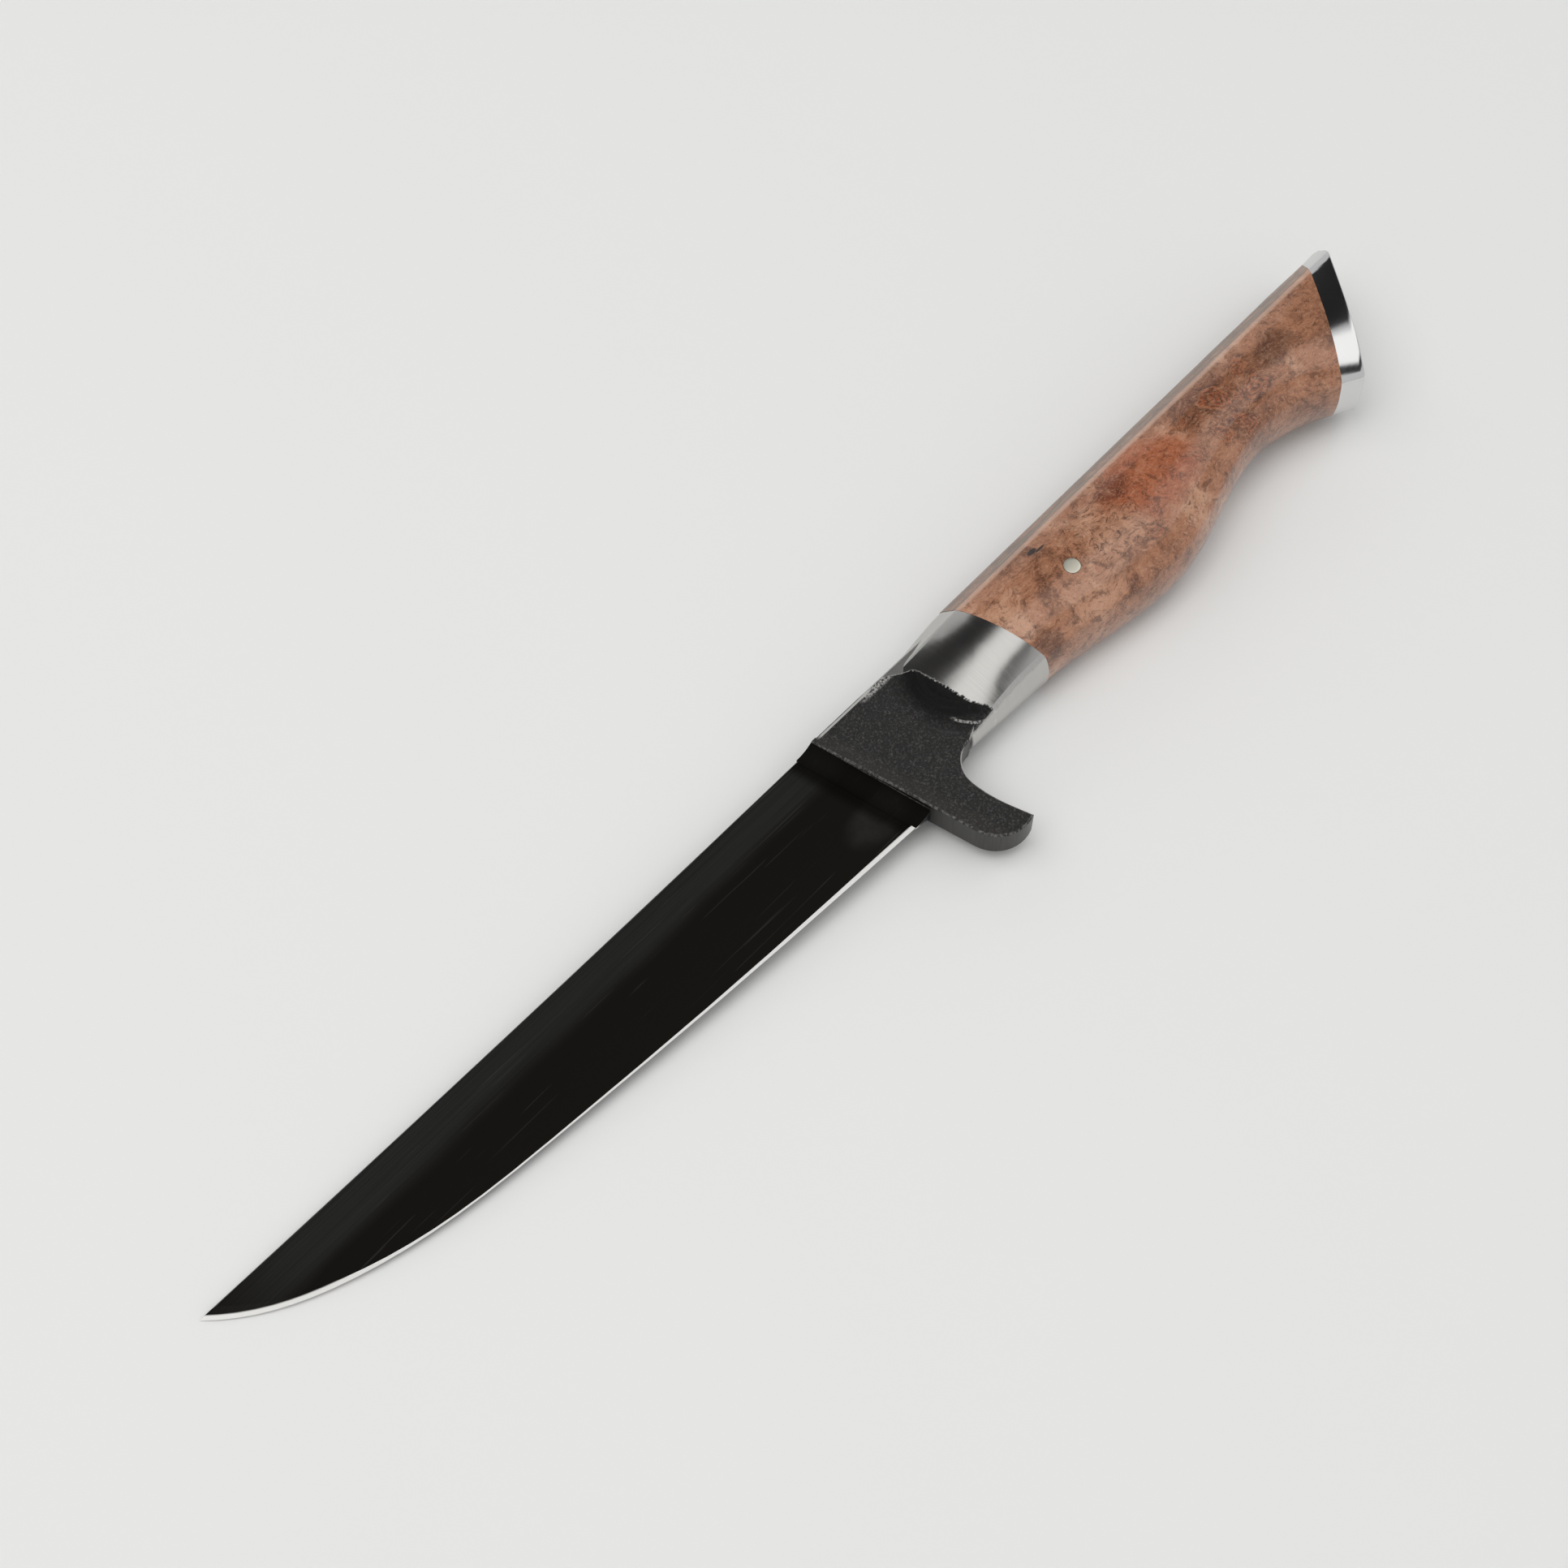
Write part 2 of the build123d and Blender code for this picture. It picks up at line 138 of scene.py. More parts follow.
class Finishes(bpy.types.PropertyGroup):
    """Colours of the steel and the wood."""

    blade: colour("Blade", "Dark satin blade", (0.013, 0.0115, 0.010))
    bevel: colour("Cutting bevel", "Fresh ground steel", (0.86, 0.85, 0.83))
    scale_dark: colour("Forge scale", "Dark scale on ricasso and guard", (0.015, 0.0145, 0.014))
    scale_light: colour("Scale specks", "Steel that shows through the scale", (0.11, 0.107, 0.102))
    guard_wall: colour("Guard wall", "Ground edge of the guard", (0.085, 0.083, 0.080))
    satin: colour("Bolster", "Hand-rubbed satin steel", (0.60, 0.59, 0.57))
    mirror: colour("Pommel", "Mirror-polished steel", (0.74, 0.74, 0.74))
    nickel: colour("Pin", "Nickel silver", (0.84, 0.81, 0.69))
    glue: colour("Bedding", "Cured adhesive", (0.55, 0.50, 0.38))
    wood_dark: colour("Wood, dark", "Knots and shadows of the burl", (0.060, 0.018, 0.008))
    wood_brown: colour("Wood, brown", "Shaded figure", (0.165, 0.062, 0.029))
    wood_rust: colour("Wood, rust", "Rust red figure", (0.330, 0.075, 0.022))
    wood_tan: colour("Wood, tan", "Ground colour", (0.340, 0.148, 0.078))
    wood_cream: colour("Wood, cream", "Pale clouds and streaks", (0.500, 0.275, 0.175))
    # olive painted shade laid over the spine facet, with grey brown streaks
    wood_olive_shade: colour("Wood, olive", "Grey brown streaks along the spine", (0.105, 0.066, 0.037))


class Studio(bpy.types.PropertyGroup):
    """Camera, lights and floor."""

    azimuth: angle("Azimuth", "Camera's direction round the knife", -46.96)
    elevation: angle("Elevation", "Camera above the horizon", 62)
    distance: length("Distance", "Camera to the point it looks at", 0.4792)
    lens: FloatProperty(name="Lens", description="Focal length", default=62, unit="CAMERA")
    aim: FloatVectorProperty(
        name="Aim",
        description="Point the camera looks at",
        default=(-0.0114, 0.0169, 0.0082),
        subtype="TRANSLATION",
    )
    floor_tilt: angle("Floor tilt", "The knife rests on its palm swell and its tip", 2.1)
    floor_colour: colour("Floor", "Pale plain floor", (0.80, 0.80, 0.79))
    key_power: FloatProperty(
        name="Key power", description="Soft light from the spine side", default=9, unit="POWER"
    )
    fill_power: FloatProperty(
        name="Fill power", description="Soft light from the edge side", default=4, unit="POWER"
    )
    sky: FloatProperty(name="Sky", description="Brightness all round", default=0.62, min=0)


# ---- Shader building ----


class Wire:
    """An output of a shader node, on which Python's operators add Math nodes."""

    def __init__(self, finish, socket):
        self.finish = finish
        self.socket = socket

    def _math(self, operation, *values):
        return self.finish.node("Math", {"operation": operation}, dict(enumerate(values)))

    def __add__(self, other):
        return self._math("ADD", self, other)

    def __radd__(self, other):
        return self._math("ADD", other, self)

    def __sub__(self, other):
        return self._math("SUBTRACT", self, other)

    def __rsub__(self, other):
        return self._math("SUBTRACT", other, self)

    def __mul__(self, other):
        return self._math("MULTIPLY", self, other)

    def __rmul__(self, other):
        return self._math("MULTIPLY", other, self)

    def __truediv__(self, other):
        return self._math("DIVIDE", self, other)

    def __abs__(self):
        return self._math("ABSOLUTE", self)

    def __or__(self, other):
        """The larger of the two, which joins two masks."""
        return self._math("MAXIMUM", self, other)


class Finish:
    """A material while it is built. Its patterns are laid out in millimetres.

    x runs from the tip, y from the centre line towards the spine and z from the middle plane.
    """

    def __init__(self, name, tree=None):
        if tree is None:
            self.material = bpy.data.materials.new(name)
            self.material.use_nodes = True
            tree = self.material.node_tree
        self.tree = tree

    def node(self, kind, settings=None, sockets=None, output=0):
        """Adds a node: its settings first, then the values or links of its sockets."""
        node = self.tree.nodes.new("ShaderNode" + kind)
        for name, value in (settings or {}).items():
            if name == "stops":
                self._set_stops(node.color_ramp, value)
            else:
                setattr(node, name, value)
        for name, value in (sockets or {}).items():
            self.feed(node.inputs[name], value)
        return Wire(self, node.outputs[output])

    def _set_stops(self, ramp, stops):
        """Gives a colour ramp its stops. Each holds a position, then a grey or a colour."""
        while len(ramp.elements) < len(stops):
            ramp.elements.new(1)
        for element, (position, value) in zip(ramp.elements, stops):
            element.position = position
            element.color = (value, value, value, 1) if isinstance(value, (int, float)) else (*value, 1)

    def feed(self, socket, value):
        """Links a wire to the socket, or sets its value."""
        if isinstance(value, Wire):
            self.tree.links.new(value.socket, socket)
        elif socket.type == "RGBA":
            socket.default_value = (*value, 1)
        else:
            socket.default_value = value

    def surface(self, **inputs):
        """Sets the shader's sockets, named with underscores for spaces."""
        shader = self.tree.nodes["Principled BSDF"]
        for name, value in inputs.items():
            self.feed(shader.inputs[name.replace("_", " ")], value)
        return self.material

    def place(self):
        """Where a point is on the knife, in millimetres."""
        points = self.node("TexCoord", output="Object")
        offset = (-TIP_X / MM, -CENTRE_Y / MM, -MIDDLE_Z / MM)
        return self.node("Mapping", None, {"Vector": points, "Location": offset, "Scale": (1 / MM,) * 3})

    def parts(self, vector):
        """The x, y and z of a vector."""
        return [self.node("SeparateXYZ", None, {0: vector}, axis) for axis in range(3)]

    def flat(self, parts):
        """The point with its height left out."""
        return self.node("CombineXYZ", None, {0: parts[0], 1: parts[1]})

    def distance(self, vector, centre):
        """How far the vector is from a centre given by its x and y."""
        settings = {"operation": "DISTANCE"}
        return self.node("VectorMath", settings, {0: vector, 1: (*centre, 0)}, "Value")

    def stretched(self, vector, scale, turn=(0, 0, 0)):
        """The vector turned and scaled, so that a pattern laid on it runs long one way."""
        return self.node("Mapping", None, {"Vector": vector, "Rotation": turn, "Scale": scale})

    def warped(self, vector, scale, amount, detail=2):
        """The vector pushed about by a soft noise."""
        push = self.noise(vector, scale, detail, output="Color")
        push = self.node("VectorMath", {"operation": "SUBTRACT"}, {0: push, 1: (0.5, 0.5, 0.5)})
        push = self.node("VectorMath", {"operation": "SCALE"}, {0: push, "Scale": amount})
        return self.node("VectorMath", {"operation": "ADD"}, {0: vector, 1: push})

    def noise(self, vector, scale, detail=2, roughness=0.5, output="Fac"):
        sockets = {"Vector": vector, "Scale": scale, "Detail": detail, "Roughness": roughness}
        return self.node("TexNoise", None, sockets, output)

    def cells(self, vector, scale):
        """Distance from the point of the nearest cell."""
        return self.node("TexVoronoi", None, {"Vector": vector, "Scale": scale}, "Distance")

    def rise(self, value, low, high):
        """Goes smoothly from 0 at low to 1 at high. With high below low it falls."""
        if high < low:
            return 1 - self.rise(value, high, low)
        sockets = {"Value": value, "From Min": low, "From Max": high}
        return self.node("MapRange", {"interpolation_type": "SMOOTHSTEP"}, sockets)

    def within(self, value, low, high, soft):
        """1 from low to high, fading to 0 over the soft width on both sides."""
        return self.rise(value, low - soft, low) * self.rise(value, high + soft, high)

    def spot(self, parts, centre, reach, soft):
        """1 inside an oval about centre, given by its reach in x and y."""
        across = (parts[0] - centre[0]) / reach[0]
        up = (parts[1] - centre[1]) / reach[1]
        return self.rise(across * across + up * up, 1 + soft, 1 - soft)

    def ramp(self, value, stops):
        return self.node("ValToRGB", {"stops": stops}, {0: value})

    def mix(self, factor, first, second):
        """Mixes two colours."""
        settings = {"data_type": "RGBA", "clamp_factor": True}
        return self.node("Mix", settings, {0: factor, 6: first, 7: second}, 2)

    def blend(self, factor, first, second):
        """Mixes two numbers."""
        return self.node("Mix", {"data_type": "FLOAT"}, {0: factor, 2: first, 3: second})

    def bump(self, height, distance):
        """Relief. Height is in shares of the distance, which is in millimetres."""
        return self.node("Bump", None, {"Height": height, "Distance": distance * MM})


# ---- Tints that the panel does not offer ----

PAINTED_BLADE_SHEEN = (0.055, 0.058, 0.055)  # painted sheen (reflection) along the spine of the blade
BLADE_HEEL = (0.060, 0.059, 0.056)  # paler steel at the heel
SCRATCH = (0.3, 0.3, 0.3)  # single scratches on the blade
PLUNGE_SHADOW = (0.005, 0.0045, 0.004)  # dark blade ahead of the plunge line
SPINE_CORNER_HIGHLIGHT = (0.10, 0.10, 0.10)  # painted highlight on the rounded corner along the spine
SCALE_GREY = (0.036, 0.035, 0.034)  # lighter forge scale
SCALE_BROWN = (0.050, 0.042, 0.035)  # scale by the plunge line
WORN_RIM = (0.26, 0.255, 0.25)  # rims of the scaled zone, worn
WORN_EDGE_AND_HIGHLIGHT = (0.60, 0.59, 0.57)  # bright worn corners of the ricasso, partly a painted highlight along the edges
RAMP_PAINTED_SHADE = (0.004, 0.004, 0.004)  # painted shade on the smooth ramp up to the bolster
RAMP_GREY = (0.022, 0.021, 0.021)  # lighter bands in the ramp's painted shade
RAMP_PAINTED_HIGHLIGHT = (0.055, 0.053, 0.051)  # painted highlight sweeping round the ramp
WORN_ARC = (0.55, 0.54, 0.52)  # bare steel in the scale
WALL_DARK = (0.035, 0.034, 0.033)  # dark lines on the ground walls
BURR = (0.75, 0.74, 0.72)  # bright edge of the rubbed zone
RUST_DARK = (0.24, 0.048, 0.014)  # rust patch of the wood
RUST_LIGHT = (0.46, 0.145, 0.062)  # its paler clouds
RUST_HEART = (0.120, 0.026, 0.010)  # its dark heart
CROWN_LIGHT = (0.26, 0.085, 0.035)  # paler clouds of the brown crown
PORE_PALE = (0.62, 0.34, 0.20)  # pale pores
OLIVE_PALE = (0.42, 0.28, 0.17)  # pale streaks on the spine facet
RIDGE_PAINTED_HIGHLIGHT = (0.62, 0.42, 0.32)  # painted highlight on the ridge below the spine facet
CRACK = (0.010, 0.008, 0.008)  # small crack by the pin
GLUE_LINE = (0.02, 0.012, 0.008)  # ring round the pin
MIRROR_SMUDGE = (0.45, 0.45, 0.46)  # smudges on the pommel
NICKEL_RUBBED = (0.62, 0.60, 0.50)  # rub lines on the pin
GLUE_HAZE = (0.36, 0.32, 0.22)  # darker clouds in the bedding
DOWEL_DARK = (0.30, 0.30, 0.30)  # turning marks on the dowels
FLOOR_MOTTLE = (0.76, 0.76, 0.75)  # mottle on the floor


# ---- Materials ----


def forged_steel(colours):
    """One forging in zones: satin blade, cutting bevel, scaled ricasso and guard, rubbed bolster."""
    finish = Finish("forged_steel")
    place = finish.place()
    x, y, z = parts = finish.parts(place)
    facing = finish.parts(finish.node("NewGeometry", output="Normal"))
    up = abs(facing[2])
    behind_plunge = x + PLUNGE_LEAN * y - PLUNGE_X

    # Blade: long fine scratches, a painted sheen (reflection) by the spine and paler steel at the heel
    brush = finish.noise(finish.stretched(place, (0.02, 2.4, 0.4)), 1.0, 3, 0.7)
    wander = finish.noise(finish.stretched(place, (0.035, 0.10, 0.1)), 1.0, 2)
    cloudy = finish.noise(place, 0.35, 3, 0.6)
    painted_sheen = finish.within(y + 3 * wander, 8.5, 12.5, 4.0) * finish.within(x, 20, 132, 25)
    heel = finish.spot(parts, (141.5, -6.5), (6.5, 3.5), 0.8)
    blade = finish.mix(painted_sheen * 0.75 * brush, colours.blade, PAINTED_BLADE_SHEEN)
    blade = finish.mix(heel * cloudy * 0.5, blade, BLADE_HEEL)
    scratches = finish.noise(finish.stretched(place, (0.05, 3.0, 1), (0, 0, 0.06)), 1.0, 1)
    blade = finish.mix(finish.rise(scratches, 0.70, 0.74) * 0.06, blade, SCRATCH)
    # painted shadow in the plunge fillet ahead of the plunge line
    plunge = finish.within(behind_plunge, -5.0, 0, 2.5)
    blade = finish.mix(plunge * 0.8, blade, PLUNGE_SHADOW)
    blade_rough = 0.30 + 0.10 * brush

    # Cutting bevel, and a painted highlight on the rounded corner along the spine
    on_blade = finish.rise(behind_plunge, 1.2, 0.6)
    on_grind = finish.rise(behind_plunge, -2.5, -3.5)
    bevel = finish.rise(abs(z), 0.30, 0.20) * finish.rise(facing[1], -0.10, -0.20) * on_grind
    # the mask picks the spine's rounded corner by its facing, for the painted highlight
    spine = finish.rise(facing[1], 0.25, 0.5) * on_blade
    colour_now = finish.mix(bevel, blade, colours.bevel)
    colour_now = finish.mix(spine * 0.8, colour_now, SPINE_CORNER_HIGHLIGHT)
    rough_now = finish.blend(bevel, blade_rough, 0.38)

    # Forge scale with small specks of steel, browner at the plunge line
    grain = finish.noise(place, 2.6, 3, 0.75)
    coarse = finish.noise(place, 0.9, 3, 0.6)
    specks = finish.rise(grain + 0.25 * coarse, 0.66, 0.80)
    scale = finish.mix(finish.rise(grain, 0.35, 0.7), colours.scale_dark, SCALE_GREY)
    scale = finish.mix(finish.within(behind_plunge, 0, 1.6, 2.0) * 0.35, scale, SCALE_BROWN)
    scale = finish.mix(specks * 0.6, scale, colours.scale_light)
    rim = finish.within(up, 0.25, 0.93, 0.05)
    worn_rim = rim * finish.rise(finish.noise(place, 1.6, 3, 0.7), 0.42, 0.62)
    scale = finish.mix(worn_rim * 0.55, scale, WORN_RIM)
    # Worn corners of the ricasso and rounded edges facing back, made bright: partly wear, partly a painted
    # edge highlight
    worn_edge_and_highlight = finish.within(y, 10.95, 11.25, 0.15) * finish.within(behind_plunge, 2.2, 14.0, 1.5)
    worn_edge_and_highlight = worn_edge_and_highlight | finish.within(up, 0.45, 0.80, 0.1) * finish.rise(facing[0], 0.15, 0.4)
    scale = finish.mix(worn_edge_and_highlight * 0.8, scale, WORN_EDGE_AND_HIGHLIGHT)

    # The ramp up to the bolster is smoother, and painted darker as shade, with a painted highlight round its
    # front
    from_bolster = finish.distance(finish.flat(parts), (172.5, 2.0))
    ramp = finish.rise(from_bolster + 1.5 * coarse, 14.5, 9.5) * finish.rise(y, -11.0, -7.0)
    sweep = finish.noise(finish.node("CombineXYZ", None, {0: from_bolster * 1.6, 1: y * 0.08}), 1.0, 3, 0.6)
    # painted shade over the ramp, with lighter bands
    scale = finish.mix(ramp * 0.9, scale, finish.mix(sweep, RAMP_PAINTED_SHADE, RAMP_GREY))
    # painted highlight round the front of the ramp
    ramp_highlight = finish.within(from_bolster, 8.5, 12.5, 1.5) * finish.rise(y, -8.0, -5.0)
    ramp_highlight = ramp_highlight * finish.rise(sweep, 0.56, 0.66)
    scale = finish.mix(ramp_highlight * 0.35, scale, RAMP_PAINTED_HIGHLIGHT)

    # Steel shows along an arc at the belly corner and in a patch by the spine
    from_corner = finish.distance(finish.flat(parts), (171.5, -1.5))
    broken = finish.rise(finish.noise(place, 2.2, 3, 0.8), 0.40, 0.58)
    arc = finish.within(from_corner + 0.5 * coarse, 7.75, 7.95, 0.28)
    arc = arc * finish.rise(y, -3.0, -4.5) * finish.rise(x, 172, 170)
    patch = finish.within(y, 10.4, 11.6, 0.7) * finish.within(x, 157.5, 163.5, 2.5)
    scale = finish.mix((arc | patch) * broken * 0.85, scale, WORN_ARC)

    # Ground walls of the guard and of the ricasso's back
    wall_lines = finish.noise(finish.stretched(place, (2.2, 2.2, 0.12)), 1.0, 3, 0.7)
    wall = finish.rise(up, 0.30, 0.12)
    wall_colour = finish.mix(wall_lines, WALL_DARK, colours.guard_wall)
    scale = finish.mix(wall, scale, wall_colour)
    forged = finish.rise(behind_plunge, -0.20, 0.0) | finish.rise(y, -12.75, -12.9)
    colour_now = finish.mix(forged, colour_now, scale)
    scale_rough = finish.blend(wall, 0.62, 0.36)
    rough_now = finish.blend(forged, rough_now, scale_rough)

    # Rubbed steel begins at a ragged line that curls forward at the spine and the notch
    stops = [
        (0.00, 0.80),
        (0.05, 0.82),
        (0.13, 0.81),
        (0.26, 0.745),
        (0.45, 0.72),
        (0.72, 0.69),
        (0.84, 0.67),
        (1.00, 0.46),
    ]
    lowest, rise_of_border, first_x, reach_x = -9.5, 21.0, 150, 25
    border = finish.ramp((y - lowest) / rise_of_border, stops) * reach_x + first_x
    teeth = finish.noise(finish.stretched(place, (0.8, 2.6, 1.0)), 1.0, 3, 0.75)
    past_border = x - border + 1.1 * (teeth - 0.5)
    underside = finish.rise(facing[1], -0.55, -0.75) * finish.rise(x, 163.8, 164.6)
    back = finish.rise(facing[1], 0.26, 0.40) * finish.rise(x, 156.5, 158.0)
    rubbed = finish.rise(past_border, -0.12, 0.12) | underside | back
    burr = finish.within(past_border, -0.10, 0.10, 0.18) * finish.rise(teeth, 0.45, 0.6)
    grain_round = finish.noise(finish.stretched(place, (5.5, 0.10, 0.10)), 1.0, 3, 0.7)
    satin = finish.mix(grain_round, finish.mix(0.18, colours.satin, (0, 0, 0)), colours.satin)
    colour_now = finish.mix(rubbed, colour_now, satin)
    colour_now = finish.mix(burr * 0.8, colour_now, BURR)
    rough_now = finish.blend(rubbed, rough_now, 0.15 + 0.08 * grain_round)

    # Relief of each zone
    scaled = forged * (1 - rubbed) * (1 - wall) * (1 - 0.7 * ramp)
    pits = finish.noise(place, 2.0, 4, 0.75) + 0.5 * finish.noise(place, 0.7, 2)
    relief = scaled * pits + rubbed * grain_round * 0.05 + (1 - forged) * brush * 0.03
    relief = relief + wall * wall_lines * 0.12 * (1 - rubbed)
    metal = finish.blend(scaled | bevel * 0.8, 1.0, 0.35)
    return finish.surface(
        Base_Color=colour_now,
        Metallic=metal,
        Roughness=rough_now,
        Normal=finish.bump(relief, 0.16),
    )


def knot(finish, body, bent, ragged, centre, size, colours):
    """Lays one knot of the burl over the body: a dark heart in uneven rings."""
    out = (finish.distance(bent, centre) + 1.2 * (ragged - 0.5)) / (1.5 * size)
    stops = [
        (0.00, colours.wood_rust),
        (0.16, colours.wood_dark),
        (0.28, colours.wood_rust),
        (0.36, colours.wood_tan),
        (0.46, colours.wood_dark),
        (0.58, colours.wood_rust),
        (0.70, colours.wood_tan),
        (0.82, colours.wood_dark),
        (1.00, colours.wood_brown),
    ]
    return finish.mix(finish.rise(out, 1.10, 0.70) * 0.62, body, finish.ramp(out, stops))


def burl_wood(colours):
    """Polished burl: brown, tan and rust clouds, a cluster of knots, dark flecks and fine fibre."""
    finish = Finish("burl_wood")
    place = finish.place()
    x, y, _ = parts = finish.parts(place)
    bent = finish.warped(finish.warped(place, 0.05, 15), 0.15, 6, 3)
    curled = finish.warped(finish.warped(place, 0.10, 8), 0.5, 2.2, 3)
    level = finish.node("VectorMath", {"operation": "MULTIPLY"}, {0: curled, 1: (1, 1, 0)})

    # Soft clouds
    clouds = finish.noise(bent, 0.10, 5, 0.62)
    stops = [
        (0.38, colours.wood_brown),
        (0.48, colours.wood_tan),
        (0.54, colours.wood_tan),
        (0.64, colours.wood_cream),
    ]
    body = finish.ramp(clouds, stops)

    # Large figure: a rust patch with a dark heart, a pale cloud, a brown crown and a streak by the pommel
    ragged = finish.parts(curled)
    rust = finish.spot(ragged, (226, 2.5), (12, 7), 0.6)
    body = finish.mix(rust * 0.88, body, finish.mix(clouds, RUST_DARK, RUST_LIGHT))
    heart = finish.spot(ragged, (219, 5.5), (4.5, 2.6), 0.7)
    body = finish.mix(heart * 0.75, body, RUST_HEART)
    pale = finish.spot(ragged, (200, -7), (8, 3.5), 0.8) | finish.spot(ragged, (212, -2), (6, 4), 0.8)
    body = finish.mix(pale * 0.55, body, colours.wood_cream)
    crown = finish.spot(ragged, (250, 2.5), (11, 8), 0.5)
    body = finish.mix(crown * 0.50, body, finish.mix(clouds, colours.wood_dark, CROWN_LIGHT))
    streak = finish.spot(ragged, (265, 4), (5, 3), 0.7) | finish.spot(ragged, (187, -6.5), (3, 3), 0.7)
    body = finish.mix(streak * 0.7, body, colours.wood_dark)

    # Knots, each given by its place and its size, and three arcs round the pale cloud
    frayed = finish.noise(place, 0.8, 3, 0.65)
    knots = [
        ((255.9, 0.7), 2.6),
        ((247.4, 4.4), 2.8),
        ((248.4, -2.8), 2.3),
        ((251.6, 3.0), 1.5),
        ((243.1, -2.7), 1.5),
        ((216.7, -5.4), 1.4),
        ((240.6, 4.9), 1.3),
        ((257.8, 6.2), 1.6),
        ((235.5, -2.5), 1.0),
    ]
    for centre, size in knots:
        body = knot(finish, body, level, frayed, centre, size, colours)
    swirl = finish.distance(level, (209, -1.5))
    arcs = finish.within(swirl, 4.2, 4.6, 0.5) | finish.within(swirl, 2.2, 2.4, 0.4)
    arcs = arcs | finish.within(swirl, 7.0, 7.3, 0.6)
    body = finish.mix(arcs * 0.30, body, colours.wood_brown)

    # Mottling
    mottle = finish.noise(curled, 0.42, 5, 0.72)
    body = finish.mix(finish.rise(mottle, 0.49, 0.36) * 0.60, body, colours.wood_dark)
    body = finish.mix(finish.rise(mottle, 0.53, 0.68) * 0.35, body, colours.wood_cream)

    # Dark flecks in the figured places
    flecks = finish.rise(finish.noise(curled, 0.9, 3, 0.7), 0.54, 0.64)
    figured = crown | finish.spot(parts, (213, 1), (12, 8), 0.5) | heart
    body = finish.mix(flecks * figured * 0.7, body, colours.wood_dark)

    # Fine curly fibre and pores
    fibre = finish.noise(finish.stretched(curled, (0.35, 2.2, 2.2), (0, 0, 0.9)), 1.0, 4, 0.7)
    body = finish.mix(finish.rise(fibre, 0.50, 0.72) * 0.40, body, colours.wood_cream)
    body = finish.mix(finish.rise(fibre, 0.49, 0.30) * 0.60, body, colours.wood_dark)
    pores = finish.noise(place, 2.4, 2, 0.8)
    body = finish.mix(finish.rise(pores, 0.56, 0.70) * 0.35, body, PORE_PALE)
    body = finish.mix(finish.rise(pores, 0.42, 0.30) * 0.35, body, colours.wood_dark)

    # Olive painted shade with streaks along the spine facet, a painted highlight on the ridge below it, a
    # small crack, and the glue line round the pin
    spine_climb, climb_from = 0.0116, 182.5
    ridge = y - spine_climb * (x - climb_from)
    streaks = finish.noise(finish.stretched(place, (0.06, 1.3, 0.8)), 1.0, 3, 0.6)
    facet = finish.rise(ridge, 9.9, 10.5)
    # painted shade on the spine facet, streaked
    body = finish.mix(facet * (0.45 + 0.50 * finish.rise(streaks, 0.42, 0.58)), body, colours.wood_olive_shade)
    body = finish.mix(facet * finish.rise(streaks, 0.54, 0.66) * 0.35, body, OLIVE_PALE)
    # painted highlight along the ridge below the facet
    body = finish.mix(finish.within(ridge, 9.50, 9.90, 0.6) * 0.50, body, RIDGE_PAINTED_HIGHLIGHT)
    crack = finish.spot(parts, (198.7, 7.7), (1.1, 0.55), 0.4)
    crack = crack | finish.spot(parts, (200.2, 7.0), (1.2, 0.25), 0.5)
    body = finish.mix(crack * 0.92, body, CRACK)
    from_pin = finish.distance(finish.flat(parts), (PIN_X / MM, 0))
    body = finish.mix(finish.rise(from_pin, 1.74, 1.62) * 0.8, body, GLUE_LINE)
    return finish.surface(
        Base_Color=body,
        Roughness=0.34 + 0.12 * fibre,
        Coat_Weight=0.7,
        Coat_Roughness=0.10,
        Specular_IOR_Level=0.4,
        Normal=finish.bump(fibre, 0.010),
    )


def mirror_steel(colours):
    """Mirror-polished steel of the pommel, with faint wipe marks."""
    finish = Finish("mirror_steel")
    place = finish.place()
    wipe = finish.noise(finish.stretched(place, (0.4, 3.0, 3.0)), 1.0, 3, 0.7)
    smudge = finish.noise(place, 0.25, 2)
    tint = finish.mix(0.12 * smudge, colours.mirror, MIRROR_SMUDGE)
    return finish.surface(
        Base_Color=tint,
        Metallic=1.0,
        Roughness=0.07 + 0.07 * wipe,
        Normal=finish.bump(wipe, 0.002),
    )


def nickel_silver(colours):
    """Rubbed nickel silver of the handle pin."""
    finish = Finish("nickel_silver")
    place = finish.place()
    rub = finish.noise(finish.stretched(place, (0.8, 5.0, 1)), 1.0, 3, 0.7)
    tint = finish.mix(0.25 * rub, colours.nickel, NICKEL_RUBBED)
    return finish.surface(
        Base_Color=tint,
        Metallic=1.0,
        Roughness=0.34 + 0.12 * rub,
        Normal=finish.bump(rub, 0.004),
    )


def cured_glue(colours):
    """Cured adhesive round the hidden tang, with small bubbles."""
    finish = Finish("cured_glue")
    place = finish.place()
    haze = finish.noise(place, 0.8, 3, 0.6)
    bubbles = finish.rise(finish.cells(place, 1.4), 0.18, 0.10)
    tint = finish.mix(haze * 0.5, colours.glue, GLUE_HAZE)
    return finish.surface(Base_Color=tint, Roughness=0.45 + 0.2 * haze, Normal=finish.bump(bubbles, 0.05))


def plain_dowel_steel(colours):
    """Turned steel of the hidden dowels."""
    finish = Finish("plain_dowel_steel")
    place = finish.place()
    turned = finish.noise(finish.stretched(place, (6.0, 0.3, 0.3)), 1.0, 3, 0.6)
    tint = finish.mix(0.4 * turned, colours.satin, DOWEL_DARK)
    return finish.surface(
        Base_Color=tint,
        Metallic=1.0,
        Roughness=0.30 + 0.2 * turned,
        Normal=finish.bump(turned, 0.01),
    )


# ---- Grip shape ----


def ease(part):
    """Goes smoothly from 0 to 1, and is held there outside."""
    part = min(max(part, 0), 1)
    return part * part * (3 - 2 * part)


def between(first, last, part):
    """The value part of the way from first to last."""
    return first + (last - first) * part


